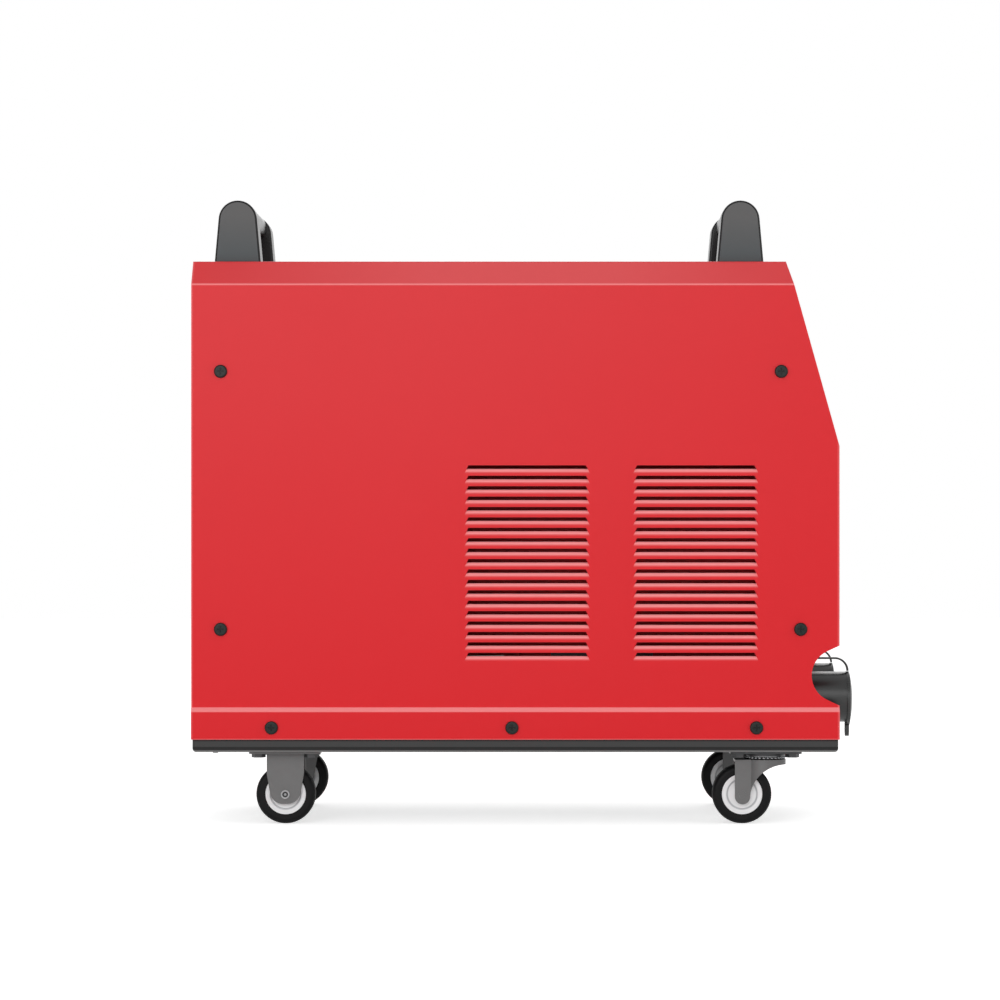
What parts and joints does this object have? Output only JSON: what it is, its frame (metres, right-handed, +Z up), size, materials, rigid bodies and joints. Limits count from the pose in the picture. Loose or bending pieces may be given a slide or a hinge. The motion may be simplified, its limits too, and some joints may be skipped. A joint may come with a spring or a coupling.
{
  "type": "plasma cutter power unit",
  "caption": "Wheeled inverter plasma cutter: folded sheet case with louvres, sloped control front, carry handles, casters, capped front sockets and a rear fan.",
  "frame": {"origin": "on the floor, under the middle of the bounding box of the unit with its dust caps on", "axes": "+X towards the front with its controls and sockets, +Y towards the unit's left side as one stands behind it, +Z up"},
  "size_m": [0.7042, 0.3368, 0.665],
  "materials": {
    "hood_paint": "satin red powder coat",
    "tray_paint": "satin dark grey powder coat",
    "panel_paint": "fine textured dark grey powder coat",
    "black_screws": "black oxide",
    "zinc_steel": "bright zinc plate",
    "zinc_sheet": "zinc plated sheet",
    "black_plastic": "black, lightly grained",
    "rocker_black": "gloss black",
    "lever_plastic": "gloss black",
    "socket_plastic": "black glass-filled plastic",
    "window_tint": "dark tinted gloss",
    "lamp_lenses": "coloured clear lenses",
    "needle_paint": "red",
    "clear_glass": "clear",
    "black_rubber": "black moulded rubber",
    "bright_metal": "nickel plate",
    "chrome_wire": "chromed wire",
    "brass": "bright brass",
    "valve_brass": "brass body with a black coil",
    "fan_metal": "black coated die casting",
    "rotor_plastic": "black",
    "bare_aluminium": "as extruded",
    "board_green": "green solder mask",
    "ferrite": "dark grey ferrite",
    "winding_copper": "varnished copper winding",
    "hose_blue": "blue air hose",
    "tyre_rubber": "black",
    "white_plastic": "white nylon"
  },
  "bodies": {
    "case": {"hood_cover": "hood_paint", "base_tray": "tray_paint", "case_screws": "black_screws", "control_panel": "panel_paint", "socket_panel": "panel_paint", "rear_panel": "panel_paint", "handle_ends": "black_plastic", "front_grip": "black_plastic", "rear_grip": "black_plastic", "frame_bolts": "zinc_steel", "display_window": "window_tint", "control_board": "board_green", "rocker_housings": "black_plastic", "indicator_lamps": "lamp_lenses", "gauge_case": "black_plastic", "gauge_lens": "clear_glass", "torch_socket": "socket_plastic", "earth_socket": "socket_plastic", "torch_cap_strap": "black_rubber", "earth_cap_strap": "black_rubber", "control_socket": "bright_metal", "breaker_body": "black_plastic", "cable_gland": "black_plastic", "air_inlet": "brass", "earth_stud": "brass", "fan_guard": "chrome_wire", "fan_frame": "fan_metal", "divider_plate": "zinc_sheet", "heat_sink": "bare_aluminium", "inverter_board": "board_green", "transformer_core": "ferrite", "transformer_winding": "winding_copper", "output_choke": "winding_copper", "solenoid_valve": "valve_brass", "air_hose": "hose_blue", "swivel_plates": "zinc_steel", "rear_right_fork": "zinc_steel", "rear_left_fork": "zinc_steel", "rear_axles": "zinc_steel"},
    "rear_right_wheel": {"rear_right_tyre": "tyre_rubber", "rear_right_hub": "white_plastic"},
    "rear_left_wheel": {"rear_left_tyre": "tyre_rubber", "rear_left_hub": "white_plastic"},
    "front_right_caster": {"front_right_fork": "zinc_steel", "front_right_axle": "zinc_steel"},
    "front_left_caster": {"front_left_fork": "zinc_steel", "front_left_axle": "zinc_steel"},
    "front_right_wheel": {"front_right_tyre": "tyre_rubber", "front_right_hub": "white_plastic"},
    "front_left_wheel": {"front_left_tyre": "tyre_rubber", "front_left_hub": "white_plastic"},
    "fan_impeller": {"fan_rotor": "rotor_plastic"},
    "current_dial": {"current_knob": "black_plastic"},
    "flow_dial": {"flow_knob": "black_plastic"},
    "mode_switch": {"mode_rocker": "rocker_black"},
    "gas_switch": {"gas_rocker": "rocker_black"},
    "gauge_pointer": {"gauge_needle": "needle_paint"},
    "torch_dust_cap": {"torch_cap": "black_rubber"},
    "earth_dust_cap": {"earth_cap": "black_rubber"},
    "breaker_toggle": {"breaker_lever": "lever_plastic"}
  },
  "joints": [
    {"name": "rear_right_wheel_spin", "type": "hinge", "parent": "case", "child": "rear_right_wheel", "pos_m": [-0.2539, -0.1225, 0.0315], "axis": [0, 1, 0], "continuous": true},
    {"name": "front_right_swivel", "type": "hinge", "parent": "case", "child": "front_right_caster", "pos_m": [0.2573, -0.1225, 0.0754], "axis": [0, 0, 1], "continuous": true},
    {"name": "front_right_wheel_spin", "type": "hinge", "parent": "front_right_caster", "child": "front_right_wheel", "pos_m": [0.2327, -0.1225, 0.0315], "axis": [0, 1, 0], "continuous": true},
    {"name": "rear_left_wheel_spin", "type": "hinge", "parent": "case", "child": "rear_left_wheel", "pos_m": [-0.2539, 0.1225, 0.0315], "axis": [0, 1, 0], "continuous": true},
    {"name": "front_left_swivel", "type": "hinge", "parent": "case", "child": "front_left_caster", "pos_m": [0.2573, 0.1225, 0.0754], "axis": [0, 0, 1], "continuous": true},
    {"name": "front_left_wheel_spin", "type": "hinge", "parent": "front_left_caster", "child": "front_left_wheel", "pos_m": [0.2327, 0.1225, 0.0315], "axis": [0, 1, 0], "continuous": true},
    {"name": "fan_spin", "type": "hinge", "parent": "case", "child": "fan_impeller", "pos_m": [-0.2946, 0, 0.235], "axis": [1, 0, 0], "continuous": true},
    {"name": "current_knob_turn", "type": "hinge", "parent": "case", "child": "current_dial", "pos_m": [0.28849, 0, 0.4617], "axis": [-0.9629, 0, -0.2698], "range_deg": [-135, 135]},
    {"name": "flow_knob_turn", "type": "hinge", "parent": "case", "child": "flow_dial", "pos_m": [0.28849, 0.098, 0.4617], "axis": [-0.9629, 0, -0.2698], "range_deg": [-135, 135]},
    {"name": "mode_rocker_tilt", "type": "hinge", "parent": "case", "child": "mode_switch", "pos_m": [0.28608, -0.115, 0.46103], "axis": [0, -1, 0], "range_deg": [0, 18]},
    {"name": "gas_rocker_tilt", "type": "hinge", "parent": "case", "child": "gas_switch", "pos_m": [0.28608, -0.081, 0.46103], "axis": [0, -1, 0], "range_deg": [0, 18]},
    {"name": "gauge_needle_turn", "type": "hinge", "parent": "case", "child": "gauge_pointer", "pos_m": [0.26853, -0.098, 0.53296], "axis": [-0.9629, 0, -0.2698], "range_deg": [0, 270]},
    {"name": "breaker_lever_throw", "type": "hinge", "parent": "case", "child": "breaker_toggle", "pos_m": [-0.3211, 0.062, 0.455], "axis": [0, 1, 0], "range_deg": [0, 70]},
    {"name": "torch_cap_pull", "type": "slide", "parent": "case", "child": "torch_dust_cap", "axis": [1, 0, 0], "range_m": [0, 0.06], "deforming": ["torch_cap_strap"]},
    {"name": "earth_cap_pull", "type": "slide", "parent": "case", "child": "earth_dust_cap", "axis": [1, 0, 0], "range_m": [0, 0.06], "deforming": ["earth_cap_strap"]}
  ]
}
